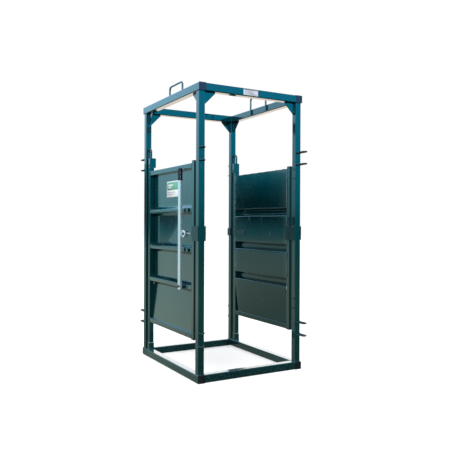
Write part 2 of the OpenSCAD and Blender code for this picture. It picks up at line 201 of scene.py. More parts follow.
def metal_material(name, colour, dull, rough, grain):
    """Zinc-coated steel with a faint spangle and fine grain along the height."""
    material, tree, shader, coords = new_material(name)
    cells = add_node(tree, "ShaderNodeTexVoronoi", {"Vector": coords, "Scale": 160.0})
    spangle = spread(tree, cells.outputs["Color"], 0.2, 0.9)
    stains = spread(tree, noise(tree, coords, 9, 5), 0.45, 0.75)
    tint = mix(tree, times(tree, spangle, 0.18), colour, dull)
    tree.links.new(mix(tree, times(tree, stains, 0.3), tint, dull), shader.inputs["Base Color"])
    shader.inputs["Metallic"].default_value = 0.80
    tree.links.new(
        spread(tree, noise(tree, coords, 30, 5), 0.3, 0.7, rough - 0.06, rough + 0.08),
        shader.inputs["Roughness"],
    )
    lines = noise(tree, coords, 150, 3, grain)
    bump(tree, shader, [(lines, 0.05, 0.1 * MM), (noise(tree, coords, 600, 2), 0.04, 0.05 * MM)])
    return material


def plastic_material(name, colour, rough, grain=900.0, fade=1.9, shine=0.5):
    """Moulded plastic with a fine grain, slightly faded and scratched."""
    material, tree, shader, coords = new_material(name)
    shader.inputs["Specular IOR Level"].default_value = shine
    faded = tuple(c * fade for c in colour)
    patches = spread(tree, noise(tree, coords, 18, 4), 0.40, 0.75)
    tone = mix(tree, patches, colour, faded)
    marks = spread(tree, noise(tree, coords, 90, 5, (1, 1, 0.2)), 0.64, 0.72)
    tone = mix(tree, times(tree, marks, 0.35), tone, tuple(c * fade + 0.03 for c in faded))
    tree.links.new(tone, shader.inputs["Base Color"])
    tree.links.new(
        spread(tree, noise(tree, coords, 60, 4), 0.3, 0.7, rough - 0.06, rough + 0.10),
        shader.inputs["Roughness"],
    )
    bump(tree, shader, [(noise(tree, coords, grain, 2), 0.25, 0.2 * MM)])
    return material


def print_material(name, colour):
    """Printed film: smooth, a little uneven in tone, with small scratches and grime."""
    material, tree, shader, coords = new_material(name)
    grime = spread(tree, noise(tree, coords, 16, 6), 0.45, 0.80)
    worn = tuple(c * 0.82 for c in colour)
    tone = mix(tree, grime, colour, worn)
    marks = spread(tree, noise(tree, coords, 140, 4, (1, 0.15, 1)), 0.66, 0.73)
    tone = mix(tree, times(tree, marks, 0.3), tone, tuple(c * 0.6 for c in colour))
    tree.links.new(tone, shader.inputs["Base Color"])
    tree.links.new(
        spread(tree, noise(tree, coords, 45, 3), 0.3, 0.7, 0.22, 0.36), shader.inputs["Roughness"]
    )
    bump(tree, shader, [(noise(tree, coords, 60, 2), 0.08, 0.3 * MM)])
    return material


PAINT = paint_material("enamel_tube", 0.10)
PAINT_SHEET = paint_material("enamel_sheet", 0.30)
PAINT_WELD = paint_material("enamel_weld", 0.05, weld=True)
PAINT_SATIN = paint_material("enamel_satin", 0.05, coat=0.2, flat=0.25)
STEEL = metal_material("galvanised", ZINC, ZINC_DULL, 0.40, (1, 1, 0.04))
STEEL_PLAIN = metal_material("plated", ZINC, ZINC_DULL, 0.34, (1, 1, 1))
DARK_STEEL = metal_material("blacked_steel", (0.05, 0.05, 0.055), (0.02, 0.02, 0.022), 0.42, (1, 1, 1))
RUBBER = plastic_material("grip_rubber", BLACK, 0.60, shine=0.3)
CAP_BLACK = plastic_material("cap_black", BLACK, 0.55, shine=0.2)
CAP_TOP = plastic_material("cap_blue", CAP_BLUE, 0.38, fade=1.5)
PRINT_WHITE = print_material("print_white", LABEL_WHITE)
PRINT_GREEN = print_material("print_green", LABEL_GREEN)
PRINT_GREY = print_material("print_grey", LABEL_GREY)
PRINT_PLATE = print_material("print_plate", PLATE_WHITE)

SLOT_MATERIALS = {
    "green_paint": PAINT, "galvanised_steel": STEEL, "black_fastener": DARK_STEEL,
    "blue_cap": CAP_TOP, "black_plastic": CAP_BLACK, "printed_label": PRINT_WHITE,
    "white_plate": PRINT_PLATE,
}
SHARP_NODES = (
    "corner_gussets", "latch_boxes_post", "mid_plates", "latch_plate", "latch_box",
    "bolt_guides", "rib_blocks", "door_strap", "heel_sockets", "hinge_box", "end_caps", "stile_caps",
)


def dress_cad_nodes():
    """Gives each carried-over node its material, and plates a small edge break."""
    slots = {part["node"]: part["material_slot"] for part in frame["record"]["subparts"]}
    for name, ob in frame["nodes"].items():
        ob.data.materials.clear()
        satin = name.startswith(("latch_plate", "latch_box", "mid_plates", "door_strap", "coupling_loops"))
        ob.data.materials.append(PAINT_SATIN if satin else SLOT_MATERIALS[slots[name]])
        if name.startswith(SHARP_NODES):
            edge = ob.modifiers.new("edge_break", "BEVEL")
            edge.width = 1.2 * MM
            edge.segments = 2
            edge.limit_method = "ANGLE"
            edge.angle_limit = math.radians(40)


# ---------- mesh helpers ----------

def add_piece(name, bm, body, material, smooth=math.radians(40)):
    """Turns a bmesh into a piece that rides on a body."""
    bmesh.ops.recalc_face_normals(bm, faces=bm.faces)
    mesh = bpy.data.meshes.new(name)
    bm.to_mesh(mesh)
    bm.free()
    mesh.materials.append(material)
    piece = bpy.data.objects.new(name, mesh)
    bpy.context.scene.collection.objects.link(piece)
    mesh.shade_smooth()
    if smooth:
        mesh.set_sharp_from_angle(angle=smooth)
    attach(piece, body)
    return piece


def loft(bm, rings, close_ends=True):
    """Skins closed rings of points, each with the same number of points."""
    made = [[bm.verts.new(p) for p in ring] for ring in rings]
    for a, b in zip(made, made[1:]):
        for i in range(len(a)):
            j = (i + 1) % len(a)
            bm.faces.new((a[i], a[j], b[j], b[i]))
    if close_ends:
        bm.faces.new(list(reversed(made[0])))
        bm.faces.new(made[-1])


def circle_points(centre, u, v, radius, count):
    turns = (2 * math.pi * i / count for i in range(count))
    return [centre + u * (radius * math.cos(t)) + v * (radius * math.sin(t)) for t in turns]


def lathe(bm, centre, axis, profile, count=48):
    """Solid of revolution: profile is a list of (distance along axis, radius)."""
    axis = Vector(axis).normalized()
    u = axis.orthogonal().normalized()
    v = axis.cross(u)
    loft(bm, [circle_points(centre + axis * s, u, v, r, count) for s, r in profile])


def hexagon_head(bm, centre, axis, across, height, chamfer):
    """Hexagon bolt head whose foot is at centre, with its top corners broken."""
    axis = Vector(axis).normalized()
    u = Vector((0, 0, 1))
    v = axis.cross(u)
    radius = across / math.sqrt(3)
    steps = ((0, radius), (height - chamfer, radius), (height, radius - chamfer * 1.6))
    loft(bm, [circle_points(centre + axis * s, u, v, r, 6) for s, r in steps])


def round_outline(w, h, r, corner=6):
    """Points of a rectangle with round corners, centred on the origin, in two dimensions."""
    points = []
    for i, (sx, sy) in enumerate(((1, 1), (-1, 1), (-1, -1), (1, -1))):
        cx, cy = sx * (w / 2 - r), sy * (h / 2 - r)
        for k in range(corner + 1):
            t = math.pi / 2 * (i + k / corner)
            points.append((cx + r * math.cos(t), cy + r * math.sin(t)))
    return points


def plate(bm, centre, u, v, w, h, t, r, edge=0.25 * MM):
    """Flat plate with round corners and a broken edge, t thick along u x v, from centre outwards."""
    n = u.cross(v)
    rings = []
    for lift, inset in ((0, 0), (t - edge, 0), (t, edge)):
        outline = round_outline(w - 2 * inset, h - 2 * inset, r)
        rings.append([centre + u * a + v * b + n * lift for a, b in outline])
    loft(bm, rings)


# ---------- welds ----------

WELD_PITCH = 5.0 * MM
WELD_STEP = 1.7 * MM
WELD_SIDES = 8
FRAME_BEAD = 2.6 * MM
THIN_BEAD = FRAME_BEAD * 0.8
DOOR_BEAD = 2.2 * MM
GUSSET_T = 5 * MM
COUPLING_BAR = 12 * MM
ROUND_BAR = 16 * MM
PACKER_W = 26 * MM
PACKER_H = 28 * MM
BOSS_RADIUS = 17 * MM
# Share of a gusset's leg that is welded, and how far a bead lies beside a round bar's middle
GUSSET_SHARE = 0.92
BESIDE_BAR = ROUND_BAR * 0.38


def weld(bm, points, radius, seed, closed=False):
    """Rippled bead along a polyline, a stack of overlapping drops."""
    rng = random.Random(seed)
    points = [Vector(p) for p in points]
    if closed:
        points.append(points[0].copy())
    track = []
    for a, b in zip(points, points[1:]):
        steps = max(1, round((b - a).length / WELD_STEP))
        track += [a.lerp(b, i / steps) for i in range(steps)]
    if not closed:
        track.append(points[-1])
    rings = []
    along = 0.0
    for i, p in enumerate(track):
        before = track[i - 1] if closed or i else p
        after = track[(i + 1) % len(track)] if closed or i + 1 < len(track) else p
        axis = (after - before).normalized()
        u = axis.orthogonal().normalized()
        v = axis.cross(u)
        ripple = 0.84 + 0.16 * abs(math.sin(math.pi * along / WELD_PITCH)) + rng.uniform(-0.03, 0.03)
        ends = 1.0
        if not closed:
            near = min(i, len(track) - 1 - i) * WELD_STEP
            ends = min(1.0, 0.35 + near / (2.2 * radius))
        rings.append(circle_points(p, u, v, radius * ripple * ends, WELD_SIDES))
        along += (after - p).length if after is not p else WELD_STEP
    if closed:
        skin_closed(bm, rings)
    else:
        loft(bm, rings)


def skin_closed(bm, rings):
    """Skins rings into a closed tube, turning each next ring to line up with the one before."""
    made = []
    for ring in rings:
        if made:
            last = made[-1][0].co
            shift = min(range(len(ring)), key=lambda k: (ring[k] - last).length)
            ring = ring[shift:] + ring[:shift]
        made.append([bm.verts.new(p) for p in ring])
    last = made[-1][0].co
    first = made[0]
    shift = min(range(len(first)), key=lambda k: (first[k].co - last).length)
    made.append(first[shift:] + first[:shift])
    for a, b in zip(made, made[1:]):
        for i in range(len(a)):
            j = (i + 1) % len(a)
            bm.faces.new((a[i], a[j], b[j], b[i]))


def box_loop(low, high, axis):
    """A box's section across an axis, halfway along it, as a rectangle with cut corners."""
    cut = 5 * MM
    a, b = [k for k in range(3) if k != axis]
    mid = (low[axis] + high[axis]) / 2
    spots = [
        (low[a] + cut, low[b]), (high[a] - cut, low[b]), (high[a], low[b] + cut), (high[a], high[b] - cut),
        (high[a] - cut, high[b]), (low[a] + cut, high[b]), (low[a], high[b] - cut), (low[a], low[b] + cut),
    ]
    loop = []
    for p, q in spots:
        point = [0.0, 0.0, 0.0]
        point[axis], point[a], point[b] = mid, p, q
        loop.append(tuple(point))
    return loop


def ring_loop(centre, axis, radius, count=20):
    axis = Vector(axis)
    u = axis.orthogonal().normalized()
    return circle_points(Vector(centre), u, axis.cross(u), radius, count)


def post_of(end, side):
    """Box of a post, from the sign of its end and of its side."""
    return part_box(f"post_{'front' if end < 0 else 'rear'}_{'left' if side < 0 else 'right'}")


def post_welds(bm, seed):
    """Posts on and under the rails."""
    for name in [f"post_{end}_{side}" for end in ("front", "rear") for side in SIDES]:
        low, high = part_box(name)
        for z in (low.z, high.z):
            seed += 1
            weld(bm, box_loop((low.x, low.y, z), (high.x, high.y, z), 2), FRAME_BEAD, seed, closed=True)
    return seed


def cross_rail_welds(bm, seed):
    """Cross rails against the side rails: a bead up both sides and over the top, none underneath."""
    for name in ("bottom_front", "bottom_rear", "top_front", "top_rear"):
        low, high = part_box("cross_rail_" + name)
        under = low.z + 4 * MM
        for x in (low.x, high.x):
            seed += 1
            path = [(x, low.y, under), (x, low.y, high.z), (x, high.y, high.z), (x, high.y, under)]
            weld(bm, path, THIN_BEAD, seed)
    return seed


def gusset_welds(bm, seed):
    """One bead down the post and one along the rail, on each face of each gusset."""
    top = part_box("side_rail_top_left")[0].z
    leg = (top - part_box("corner_gussets")[0].z) * GUSSET_SHARE
    for side in SIDES.values():
        for end in (-1, 1):
            low, high = post_of(end, side)
            in_x = high.x if side < 0 else low.x
            in_y = high.y if end < 0 else low.y
            mid_x, mid_y = (low.x + high.x) / 2, (low.y + high.y) / 2
            for face in (-GUSSET_T / 2, GUSSET_T / 2):
                seed += 1
                on_x, on_y = mid_x + face, mid_y + face
                far_x, far_y = in_x - side * leg, in_y - end * leg
                weld(bm, [(in_x, on_y, top), (in_x, on_y, top - leg)], THIN_BEAD, seed)
                weld(bm, [(on_x, in_y, top), (on_x, in_y, top - leg)], THIN_BEAD, seed + 50)
                weld(bm, [(in_x, on_y, top), (far_x, on_y, top)], THIN_BEAD, seed + 90)
                weld(bm, [(on_x, in_y, top), (on_x, far_y, top)], THIN_BEAD, seed + 130)
    return seed


def coupling_loop_welds(bm, seed):
    """A ring of weld round each foot of each coupling loop."""
    for name in ("front_left", "front_right", "rear_left", "rear_right"):
        loops = frame["nodes"]["coupling_loops_" + name]
        low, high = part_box("coupling_loops_" + name)
        face = high.y if name.startswith("front") else low.y
        on_face = sorted({round(v.co.z, 4) for v in loops.data.vertices if abs(v.co.y - face) < 1e-5})
        for z in split_levels(on_face, COUPLING_BAR):
            for x in (low.x + COUPLING_BAR / 2, high.x - COUPLING_BAR / 2):
                seed += 1
                foot = ring_loop((x, face, z), (0, 1, 0), COUPLING_BAR / 2 + 1 * MM)
                weld(bm, foot, THIN_BEAD, seed, closed=True)
    return seed


def lifting_loop_welds(bm, seed):
    """Both sides of each leg, along the inner faces of the top rails."""
    rail_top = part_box("side_rail_top_left")[1].z
    low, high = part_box("lifting_loops")
    for x in (low.x + 0.2 * MM, high.x - 0.2 * MM):
        for y in (low.y + ROUND_BAR / 2, high.y - ROUND_BAR / 2):
            for off in (-BESIDE_BAR, BESIDE_BAR):
                seed += 1
                ends = [(x, y + off, low.z + 2 * MM), (x, y + off, rail_top - 2 * MM)]
                weld(bm, ends, FRAME_BEAD, seed)
    return seed


def crook_pin_welds(bm, seed):
    """The outer legs of the crook pins, against the posts."""
    low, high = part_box("crook_pins")
    leg_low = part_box("hinge_box_left")[1].z + 7 * MM
    for x in (low.x + ROUND_BAR / 2, high.x - ROUND_BAR / 2):
        for off in (-BESIDE_BAR, BESIDE_BAR):
            seed += 1
            ends = [(x + off, high.y, leg_low + 2 * MM), (x + off, high.y, leg_low + 48 * MM)]
            weld(bm, ends, FRAME_BEAD, seed)
    return seed


def heel_socket_welds(bm, seed):
    """Round the foot of each heel socket."""
    low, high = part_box("heel_sockets")
    size = high.y - low.y
    for x in (low.x, high.x - size):
        seed += 1
        weld(bm, box_loop((x, low.y, low.z), (x + size, high.y, low.z), 2), FRAME_BEAD, seed, closed=True)
    return seed


def post_plate_welds(bm, seed):
    """Latch boxes and mid plates on the posts."""
    post_low, post_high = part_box("post_rear_left")
    for name, limit in (("latch_boxes_post", -post_low.y), ("mid_plates", post_high.y)):
        low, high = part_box(name)
        end = min(high.y, limit)
        for side in SIDES.values():
            face = side * abs(post_high.x)
            for z in (low.z, high.z):
                seed += 1
                weld(bm, [(face, low.y + 4 * MM, z), (face, end - 3 * MM, z)], THIN_BEAD, seed)
    return seed


def frame_welds():
    bm = bmesh.new()
    seed = 0
    parts = (
        post_welds, cross_rail_welds, gusset_welds, coupling_loop_welds,
        lifting_loop_welds, crook_pin_welds, heel_socket_welds, post_plate_welds,
    )
    for part in parts:
        seed = part(bm, seed)
    add_piece("frame_welds", bm, "frame", PAINT_WELD)


def split_levels(values, gap):
    """Groups sorted heights that lie within gap of each other, and gives each group's middle."""
    groups = [[values[0]]]
    for z in values[1:]:
        if z - groups[-1][0] > gap * 1.5:
            groups.append([z])
        else:
            groups[-1].append(z)
    return [(g[0] + g[-1]) / 2 for g in groups]


def tube_welds(bm, side, seed):
    """The door's rails against its stiles."""
    low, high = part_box(f"door_rails_{side}")
    tube = high.x - low.x
    for z in (low.z, high.z - tube):
        for y in (low.y, high.y):
            seed += 1
            weld(bm, box_loop((low.x, y, z), (high.x, y, z + tube), 1), DOOR_BEAD, seed, closed=True)
    return seed


def sheet_stitches(bm, side, seed):
    """Short runs round the pressed sheet: top edge, both side edges, and the foot on the bottom rail."""
    k = SIDES[side]
    rng = random.Random(40 + k)
    rails_low, rails_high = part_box(f"door_rails_{side}")
    low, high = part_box(f"door_sheet_{side}")
    inner_x = k * min(abs(low.x), abs(high.x))
    y = rails_low.y + 25 * MM
    while y < rails_high.y - 45 * MM:
        seed += 1
        run = rng.uniform(22, 34) * MM
        weld(bm, [(inner_x, y, high.z), (inner_x, y + run, high.z)], DOOR_BEAD, seed)
        y += rng.uniform(105, 135) * MM
    z = low.z + 45 * MM
    while z < high.z - 40 * MM:
        if all(abs(z - rib) > 50 * MM for rib in RIB_HEIGHTS) and z > RIB_HEIGHTS[0]:
            for edge in (low.y, high.y):
                seed += 1
                run = rng.uniform(20, 32) * MM
                weld(bm, [(inner_x, edge, z), (inner_x, edge, z + run)], DOOR_BEAD, seed)
        z += rng.uniform(60, 85) * MM
    foot_x = k * (abs(inner_x) + (rails_high.x - rails_low.x) / 2 + 1 * MM)
    y = rails_low.y + 15 * MM
    while y < rails_high.y - 40 * MM:
        seed += 1
        run = rng.uniform(24, 36) * MM
        for x in (foot_x - 1.5 * MM, foot_x + 1.5 * MM):
            weld(bm, [(x, y, low.z), (x, y + run, low.z)], DOOR_BEAD * 0.5, seed)
        y += rng.uniform(120, 160) * MM
    return seed


def fitting_welds(bm, side, seed):
    """Hinge box, heel plate, latch plate, latch box, packers and the lever's boss on the stiles."""
    low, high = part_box(f"hinge_stile_{side}")
    top = box_loop((low.x, low.y, high.z), (high.x, high.y, high.z), 2)
    weld(bm, top, DOOR_BEAD, seed + 1, closed=True)
    foot = box_loop((low.x, low.y, low.z), (high.x, high.y, low.z), 2)
    weld(bm, foot, DOOR_BEAD * 0.8, seed + 2, closed=True)
    stile_low, stile_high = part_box(f"latch_stile_{side}")
    low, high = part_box(f"latch_plate_{side}")
    in_x, out_x = sorted((stile_low.x, stile_high.x), key=abs)
    weld(bm, [(out_x, high.y, low.z + 4 * MM), (out_x, high.y, high.z - 4 * MM)], DOOR_BEAD, seed + 3)
    for z in (low.z, high.z):
        weld(bm, [(out_x, stile_low.y + 1 * MM, z), (out_x, high.y, z)], DOOR_BEAD, seed + 4)
        inside = [(in_x, stile_low.y + 2 * MM, z), (in_x, stile_high.y - 10 * MM, z)]
        weld(bm, inside, DOOR_BEAD, seed + 5)
    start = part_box(f"rib_blocks_{side}")[0].y
    for rib in RIB_HEIGHTS[1:]:
        for z in (rib - PACKER_H / 2, rib + PACKER_H / 2):
            weld(bm, [(out_x, start, z), (out_x, start + PACKER_W, z)], DOOR_BEAD, seed + 6)
    low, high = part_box(f"lever_pivot_{side}")
    pivot = (out_x, (low.y + high.y) / 2, (low.z + high.z) / 2)
    weld(bm, ring_loop(pivot, (1, 0, 0), BOSS_RADIUS, 28), DOOR_BEAD, seed + 7, closed=True)


def strap_welds(bm, side, seed):
    """The strap's two ends: long runs above and below, and one down its free end."""
    low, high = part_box(f"door_strap_{side}")
    x = SIDES[side] * max(abs(low.x), abs(high.x))
    for z in (low.z, high.z):
        weld(bm, [(x, high.y - 42 * MM, z), (x, high.y - 3 * MM, z)], DOOR_BEAD, seed + 8)
        weld(bm, [(x, low.y + 4 * MM, z), (x, low.y + 40 * MM, z)], DOOR_BEAD, seed + 9)
    weld(bm, [(x, low.y, low.z + 3 * MM), (x, low.y, high.z - 3 * MM)], DOOR_BEAD, seed + 10)


def door_welds(side):
    bm = bmesh.new()
    seed = tube_welds(bm, side, 300 if side == "left" else 600)
    seed = sheet_stitches(bm, side, seed)
    fitting_welds(bm, side, seed)
    strap_welds(bm, side, seed)
    add_piece(f"door_welds_{side}", bm, f"{side}_door", PAINT_WELD)


# ---------- pressed sheets ----------

RIB_HEIGHTS = (0.686, 0.968, 1.270)
RIB_MOUTH = 68 * MM
RIB_FACE = 32 * MM
SHEET_T = 2 * MM
FOLD_RADIUS = 6 * MM


def round_corners(points, radius, steps=4):
    """Replaces the inner corners of a 2-D polyline by arcs."""
    out = [points[0]]
    for a, b, c in zip(points, points[1:], points[2:]):
        a, b, c = Vector(a), Vector(b), Vector(c)
        back, on = (a - b).normalized(), (c - b).normalized()
        turn = back.angle(on)
        if turn > math.radians(178):
            out.append(b)
            continue
        cut = min(radius / math.tan(turn / 2), (a - b).length * 0.45, (c - b).length * 0.45)
        start, end = b + back * cut, b + on * cut
        for i in range(steps + 1):
            t = i / steps
            out.append(start.lerp(b, t).lerp(b.lerp(end, t), t))
    out.append(points[-1])
    return [Vector(p) for p in out]


def subdivide(points, longest):
    out = []
    for a, b in zip(points, points[1:]):
        steps = max(1, math.ceil((b - a).length / longest))
        out += [a.lerp(b, i / steps) for i in range(steps)]
    return out + [points[-1]]


def waves(y, z, phase):
    """Oil-canning of a thin sheet: slow waves of a millimetre or so."""
    slow = math.sin(5.1 * y + 3.7 * z + phase) * math.sin(4.3 * z - 2.2 * y + 1.3 * phase)
    quick = math.sin(13.0 * y + 1.7 * phase) * math.cos(11.0 * z + 0.6 * phase)
    return (1.1 * slow + 0.45 * quick) * MM


def door_sheet(side):
    k = SIDES[side]
    low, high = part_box(f"door_sheet_{side}")
    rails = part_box(f"door_rails_{side}")
    inner = min(abs(low.x), abs(high.x)) + SHEET_T / 2
    outer = max(abs(low.x), abs(high.x)) - SHEET_T / 2
    # The foot is sunk a little into the rail, so that no light shows under it
    sunk = 0.3 * MM
    foot = (inner + (rails[1].x - rails[0].x) / 2, low.z - sunk)
    line = [foot]
    for z in RIB_HEIGHTS:
        line += [
            (inner, z - RIB_MOUTH / 2), (outer, z - RIB_FACE / 2),
            (outer, z + RIB_FACE / 2), (inner, z + RIB_MOUTH / 2),
        ]
    line.append((inner, high.z))
    centre = subdivide(round_corners([Vector(p) for p in line], FOLD_RADIUS), 22 * MM)
    # Outer and inner skins of the section
    outside, inside = [], []
    for i, p in enumerate(centre):
        a, b = centre[max(0, i - 1)], centre[min(len(centre) - 1, i + 1)]
        along = (b - a).normalized()
        normal = Vector((along.y, -along.x)) * (SHEET_T / 2)
        outside.append(p + normal)
        inside.append(p - normal)
    section = outside + list(reversed(inside))
    lap = rails[0].y - low.y
    columns = 64
    bm = bmesh.new()
    rings = []
    for i in range(columns + 1):
        y = rails[0].y + (rails[1].y - rails[0].y) * i / columns
        hold = math.sin(math.pi * i / columns) ** 0.5
        ring = []
        for x, z in section:
            upper = min(1.0, max(0.0, (high.z - z) / (60 * MM)))
            lower = min(1.0, max(0.0, (z - low.z) / (60 * MM)))
            grip = hold * upper * lower
            near_rib = min(abs(z - rib) for rib in RIB_HEIGHTS) < RIB_MOUTH / 2 + 5 * MM
            shift = waves(y, z, 1.0 + k) * grip * (0.5 if near_rib else 1.0)
            sag = 1.3 * MM * math.sin(9.0 * y + 2.0 * k + 4.0 * z) * grip if near_rib else 0.0
            ring.append((k * (x + min(shift, 0.0)), y, z + sag))
        rings.append(ring)
    loft(bm, rings)
    # Edges lapped over the stiles between the ribs
    lows = [rib + RIB_MOUTH / 2 for rib in RIB_HEIGHTS]
    highs = [rib - RIB_MOUTH / 2 for rib in RIB_HEIGHTS[1:]] + [high.z]
    for z0, z1 in zip(lows, highs):
        for y0, y1 in ((low.y, low.y + lap), (high.y - lap, high.y)):
            middle = Vector((k * (inner + SHEET_T / 2), (y0 + y1) / 2, (z0 + z1) / 2))
            u, v = Vector((0, k, 0)), Vector((0, 0, -1))
            plate(bm, middle, u, v, y1 - y0, z1 - z0 - 1 * MM, SHEET_T, 1 * MM)
    sharp = math.radians(50)
    piece = add_piece(f"pressed_sheet_{side}", bm, f"{side}_door", PAINT_SHEET, sharp)
    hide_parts(f"door_sheet_{side}")


# ---------- latch pieces ----------

def lever_grip(side):
    """Ribbed rubber sleeve with a flange at its foot and a domed end."""
    low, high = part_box(f"lever_grip_{side}")
    centre = (low + high) / 2
    w, d = high.y - low.y, high.x - low.x
    length = high.z - low.z
    bm = bmesh.new()
    rings = []
    steps = 72
    for i in range(steps + 1):
        t = i / steps
        z = low.z + length * t
        inset = 1.3 * MM
        if t < 0.08:
            inset = 0.0
        elif t < 0.86:
            inset = 1.5 * MM + 0.9 * MM * math.cos(2 * math.pi * (t - 0.08) / 0.78 * 9)
        if t > 0.94:
            inset += 5.0 * MM * ((t - 0.94) / 0.06) ** 2
        outline = round_outline(d - 2 * inset, w - 2 * inset, 6 * MM)
        rings.append([Vector((centre.x + a, centre.y + b, z)) for a, b in outline])
    loft(bm, rings)
    piece = add_piece(f"grip_{side}", bm, f"{side}_lever", RUBBER)
    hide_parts(f"lever_grip_{side}")


def stop_disc(side):
    """Plated disc with a raised rim, held by a blacked bolt and washer."""
    k = SIDES[side]
    low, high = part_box(f"stop_disc_{side}")
    radius = (high.y - low.y) / 2
    centre = (low + high) / 2
    foot = Vector((k * min(abs(low.x), abs(high.x)), centre.y, centre.z))
    out = (k, 0, 0)
    t = 8 * MM
    bm = bmesh.new()
    lathe(bm, foot, out, [
        (0, radius - 1 * MM), (1 * MM, radius), (t - 1.5 * MM, radius), (t - 0.4 * MM, radius - 0.6 * MM),
        (t, radius - 2 * MM), (t, radius * 0.52), (t - 1.5 * MM, radius * 0.46), (t - 1.5 * MM, 2 * MM),
    ], 72)
    piece = add_piece(f"disc_{side}", bm, f"{side}_bolt", STEEL_PLAIN)
    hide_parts(f"stop_disc_{side}")
    bm = bmesh.new()
    seat = foot + Vector(out) * (t - 1.5 * MM)
    lathe(bm, seat, out, [(0, 11.5 * MM), (1.5 * MM, 11.5 * MM), (2 * MM, 11 * MM)], 40)
    hexagon_head(bm, seat + Vector(out) * 2 * MM, out, 17 * MM, 5 * MM, 1 * MM)
    add_piece(f"disc_bolt_{side}", bm, f"{side}_bolt", DARK_STEEL, math.radians(25))


def lever_pivot(side):
    """Hexagon bolt through the lever into the boss."""
    k = SIDES[side]
    low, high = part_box(f"lever_pivot_{side}")
    centre = (low + high) / 2
    inner, outer = sorted((abs(low.x), abs(high.x)))
    head = 6 * MM
    out = (k, 0, 0)
    bm = bmesh.new()
    start = Vector((k * inner, centre.y, centre.z))
    shank = 6 * MM
    lathe(bm, start, out, [(0, shank), (outer - inner - head, shank)], 32)
    under = Vector((k * (outer - head), centre.y, centre.z))
    hexagon_head(bm, under, out, 17.3 * MM, head, 1.2 * MM)
    sharp = math.radians(25)
    piece = add_piece(f"pivot_bolt_{side}", bm, f"{side}_door", DARK_STEEL, sharp)
    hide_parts(f"lever_pivot_{side}")


def print_panel(bm, origin, u, v, spots):
    """Adds flat printed patches: each is (across, up, width, height) from the panel's middle."""
    for across, up, w, h in spots:
        plate(bm, origin + u * across + v * up, u, v, w, h, 0.25 * MM, min(w, h) * 0.12, 0.05 * MM)


def door_label():
    """White film with a green panel and plain bars: no lettering."""
    low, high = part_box("door_label")
    centre = (low + high) / 2
    w, h = high.y - low.y, high.z - low.z
    u, v = Vector((0, -1, 0)), Vector((0, 0, 1))
    face = Vector((high.x, centre.y, centre.z))
    bm = bmesh.new()
    plate(bm, face, u, v, w, h, 0.8 * MM, 4 * MM)
    film = add_piece("label_film", bm, "left_door", PRINT_WHITE)
    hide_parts("door_label")
    on = face + Vector((-0.8 * MM, 0, 0))
    bm = bmesh.new()
    print_panel(bm, on, u, v, [(0, h * 0.19, w * 0.93, h * 0.50)])
    add_piece("label_panel", bm, "left_door", PRINT_GREEN)
    bm = bmesh.new()
    over = on + Vector((-0.25 * MM, 0, 0))
    bars = [(-w * 0.20, h * 0.24, w * 0.42, h * 0.10), (-w * 0.26, h * 0.10, w * 0.30, h * 0.06)]
    print_panel(bm, over, u, v, bars)
    add_piece("label_bars", bm, "left_door", PRINT_WHITE)
    bm = bmesh.new()
    lines = [(-w * 0.1, -h * 0.20, w * 0.66, h * 0.05), (-w * 0.17, -h * 0.32, w * 0.52, h * 0.05)]
    print_panel(bm, on, u, v, lines)
    add_piece("label_lines", bm, "left_door", PRINT_GREY)


def maker_plate():
    """Pale plate with a dark band and plain bars: no lettering."""
    low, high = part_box("maker_plate")
    centre = (low + high) / 2
    w, h = high.x - low.x, high.z - low.z
    u, v = Vector((1, 0, 0)), Vector((0, 0, 1))
    face = Vector((centre.x, high.y, centre.z))
    bm = bmesh.new()
    plate(bm, face, u, v, w, h, 1.2 * MM, 3 * MM)
    base = add_piece("plate_base", bm, "frame", PRINT_PLATE)
    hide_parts("maker_plate")
    on = face + Vector((0, -1.2 * MM, 0))
    bm = bmesh.new()
    print_panel(bm, on, u, v, [(0, h * 0.40, w * 0.94, h * 0.10)])
    add_piece("plate_band", bm, "frame", CAP_TOP)
    bm = bmesh.new()
    bars = [(-w * 0.12, h * up, w * 0.62, h * 0.05) for up in (0.14, -0.02, -0.18, -0.34)]
    print_panel(bm, on, u, v, bars)
    add_piece("plate_bars", bm, "frame", PRINT_GREY)


# ---------- studio ----------

def floor_material():
    """Pale ground that keeps faint contact shadows."""
    material, tree, shader, coords = new_material("floor")
    shader.inputs["Roughness"].default_value = 0.9
    shader.inputs["Specular IOR Level"].default_value = 0.0
    tone = mix(tree, noise(tree, coords, 3, 2), (0.78, 0.78, 0.78), (0.80, 0.80, 0.80))
    tree.links.new(tone, shader.inputs["Base Color"])
    shader.inputs["Emission Color"].default_value = (1, 1, 1, 1)
    shader.inputs["Emission Strength"].default_value = 0.24
    return material


def add_floor():
    bm = bmesh.new()
    bmesh.ops.create_grid(bm, x_segments=4, y_segments=4, size=40)
    mesh = bpy.data.meshes.new("floor")
    bm.to_mesh(mesh)
    bm.free()
    mesh.materials.append(floor_material())
    floor = bpy.data.objects.new("floor", mesh)
    floor.location.z = cad_low.z - 0.2 * MM
    floor.visible_glossy = False
    floor.visible_diffuse = False
    bpy.context.scene.collection.objects.link(floor)


def colour_ramp(tree, value, stops):
    """Colours over a value, from a list of (position, colour)."""
    made = add_node(tree, "ShaderNodeValToRGB", {0: value})
    ramp = made.color_ramp
    while len(ramp.elements) < len(stops):
        ramp.elements.new(0.5)
    for element, (position, _) in zip(ramp.elements, stops):
        element.position = position
    for element, (_, colour) in zip(ramp.elements, stops):
        element.color = (*colour, 1.0)
    return made.outputs["Color"]


